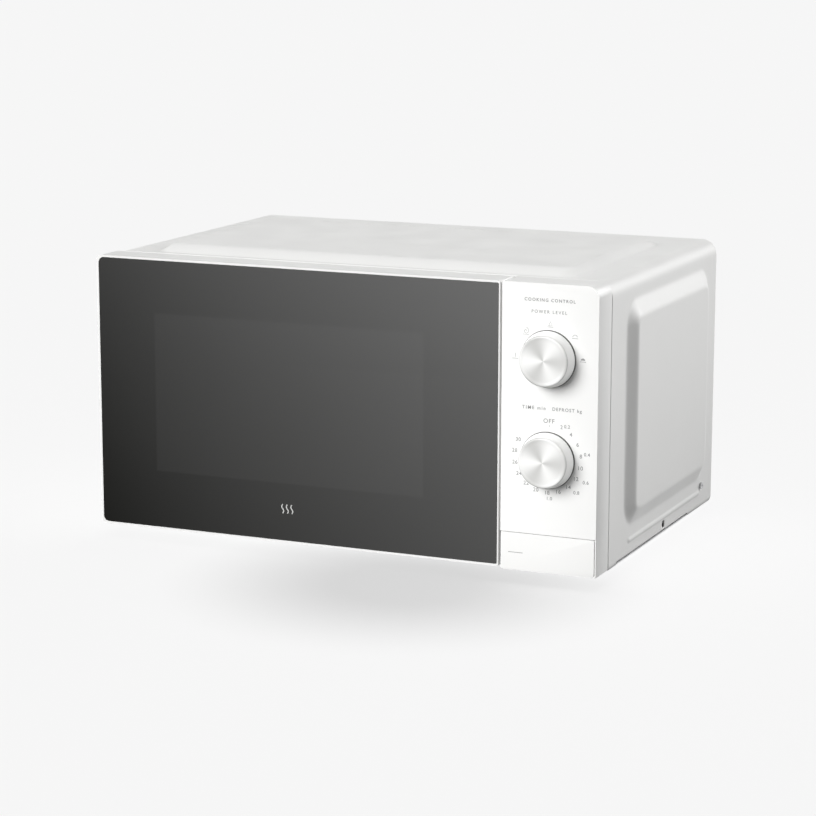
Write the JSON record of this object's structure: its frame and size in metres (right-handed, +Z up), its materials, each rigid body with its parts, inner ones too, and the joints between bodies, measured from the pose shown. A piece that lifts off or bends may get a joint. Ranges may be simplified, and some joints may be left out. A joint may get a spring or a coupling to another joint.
{
  "type": "microwave oven",
  "caption": "Compact countertop microwave oven with a side-hung glass door, push-button latch, two turning knobs and a glass turntable.",
  "frame": {"origin": "on the floor, in the middle of the whole object's footprint", "axes": "+X to the right seen from the front, +Y to the rear, +Z up"},
  "size_m": [0.462, 0.324, 0.2495],
  "materials": {
    "case_paint": "satin white powder coat",
    "zinc_steel": "zinc-plated sheet",
    "frame_paint": "light grey oven enamel",
    "foot_rubber": "matt",
    "screw_steel": "plated",
    "black_plastic": "matt",
    "mica": "flaky mineral sheet",
    "front_plastic": "semi-gloss white",
    "spring_steel": "drawn wire",
    "tough_plastic": "moulded",
    "knob_metal": "spun, pearl white",
    "switch_plastic": "moulded",
    "bell_brass": "plain",
    "tinted_glass": "dark tinted, polished",
    "screen_metal": "black perforated sheet",
    "clear_film": "clear",
    "plate_glass": "polished",
    "motor_steel": "plated housing",
    "magnetron_steel": "plated",
    "core_steel": "varnished laminations",
    "winding_copper": "enamelled wire",
    "can_aluminium": "drawn can",
    "board_green": "printed board"
  },
  "bodies": {
    "cabinet": {"outer_case": "case_paint", "base_plate": "zinc_steel", "rear_panel": "zinc_steel", "front_frame": "frame_paint", "feet": "foot_rubber", "case_screws": "screw_steel", "top_bracket": "zinc_steel", "cord_gland": "black_plastic", "oven_cavity": "frame_paint", "waveguide_cover": "mica", "control_panel": "front_plastic", "button_spring": "spring_steel", "power_switch": "switch_plastic", "timer_unit": "switch_plastic", "timer_bell": "bell_brass", "latch_board": "tough_plastic", "primary_switch": "black_plastic", "secondary_switch": "black_plastic", "monitor_switch": "black_plastic", "upper_hinge": "screw_steel", "lower_hinge": "screw_steel", "turntable_motor": "motor_steel", "waveguide": "zinc_steel", "magnetron": "magnetron_steel", "magnetron_fins": "zinc_steel", "transformer_core": "core_steel", "transformer_coils": "winding_copper", "capacitor": "can_aluminium", "capacitor_strap": "zinc_steel", "fan_shroud": "switch_plastic", "fan_motor": "motor_steel", "air_duct": "switch_plastic", "lamp_housing": "zinc_steel", "lamp_bulb": "plate_glass", "filter_board": "board_green", "thermal_cutout": "black_plastic"},
    "door": {"door_frame": "front_plastic", "door_glass": "tinted_glass", "choke_frame": "zinc_steel", "window_screen": "screen_metal", "inner_window": "clear_film", "choke_cover": "front_plastic", "latch_spring": "spring_steel"},
    "latch": {"latch_hooks": "tough_plastic"},
    "button": {"door_button": "front_plastic"},
    "lever": {"release_lever": "tough_plastic"},
    "power_dial": {"power_knob": "knob_metal"},
    "timer_dial": {"timer_knob": "knob_metal"},
    "turntable": {"turntable_plate": "plate_glass", "drive_coupler": "tough_plastic", "motor_shaft": "screw_steel"},
    "roller_ring": {"roller_ring": "tough_plastic"},
    "wheel_1": {"roller_wheel_1": "tough_plastic"},
    "wheel_2": {"roller_wheel_2": "tough_plastic"},
    "wheel_3": {"roller_wheel_3": "tough_plastic"},
    "fan": {"fan_blade": "switch_plastic", "fan_shaft": "screw_steel"}
  },
  "joints": [
    {"name": "door_hinge", "type": "hinge", "parent": "cabinet", "child": "door", "pos_m": [-0.216, -0.1335, 0.127], "axis": [0, 0, -1], "range_deg": [0, 105]},
    {"name": "button_press", "type": "slide", "parent": "cabinet", "child": "button", "axis": [0, 1, 0], "range_m": [0, 0.005], "stiffness_N_per_m": 800, "springref_m": -0.004, "deforming": ["button_spring"]},
    {"name": "lever_lift", "type": "hinge", "parent": "cabinet", "child": "lever", "pos_m": [0.14, -0.1155, 0.056], "axis": [1, 0, 0], "range_deg": [0, 15]},
    {"name": "latch_slide", "type": "slide", "parent": "door", "child": "latch", "axis": [0, 0, 1], "range_m": [0, 0.0035], "deforming": ["latch_spring"]},
    {"name": "power_turn", "type": "hinge", "parent": "cabinet", "child": "power_dial", "pos_m": [0.1833, -0.1495, 0.1842], "axis": [0, 1, 0], "range_deg": [0, 180]},
    {"name": "timer_turn", "type": "hinge", "parent": "cabinet", "child": "timer_dial", "pos_m": [0.1833, -0.1495, 0.1028], "axis": [0, 1, 0], "range_deg": [0, 298]},
    {"name": "turntable_spin", "type": "hinge", "parent": "cabinet", "child": "turntable", "pos_m": [-0.047, 0.0135, 0.05], "axis": [0, 0, 1], "continuous": true},
    {"name": "ring_spin", "type": "hinge", "parent": "cabinet", "child": "roller_ring", "pos_m": [-0.047, 0.0135, 0.0391], "axis": [0, 0, 1], "continuous": true},
    {"name": "wheel_1_spin", "type": "hinge", "parent": "roller_ring", "child": "wheel_1", "pos_m": [0.045, 0.0135, 0.0391], "axis": [1, 0, 0], "continuous": true},
    {"name": "wheel_2_spin", "type": "hinge", "parent": "roller_ring", "child": "wheel_2", "pos_m": [-0.093, 0.09317, 0.0391], "axis": [-0.5, 0.866, 0], "continuous": true},
    {"name": "wheel_3_spin", "type": "hinge", "parent": "roller_ring", "child": "wheel_3", "pos_m": [-0.093, -0.06617, 0.0391], "axis": [-0.5, -0.866, 0], "continuous": true},
    {"name": "fan_spin", "type": "hinge", "parent": "cabinet", "child": "fan", "pos_m": [0.167, 0.1425, 0.13], "axis": [0, 1, 0], "continuous": true}
  ],
  "couplings": [
    {"joint": "lever_lift", "follows": "button_press", "rad_per_m": 50},
    {"joint": "latch_slide", "follows": "button_press", "ratio": 0.7},
    {"joint": "ring_spin", "follows": "turntable_spin", "ratio": 0.5},
    {"joint": "wheel_1_spin", "follows": "turntable_spin", "ratio": -6.5714},
    {"joint": "wheel_2_spin", "follows": "turntable_spin", "ratio": -6.5714},
    {"joint": "wheel_3_spin", "follows": "turntable_spin", "ratio": -6.5714}
  ]
}
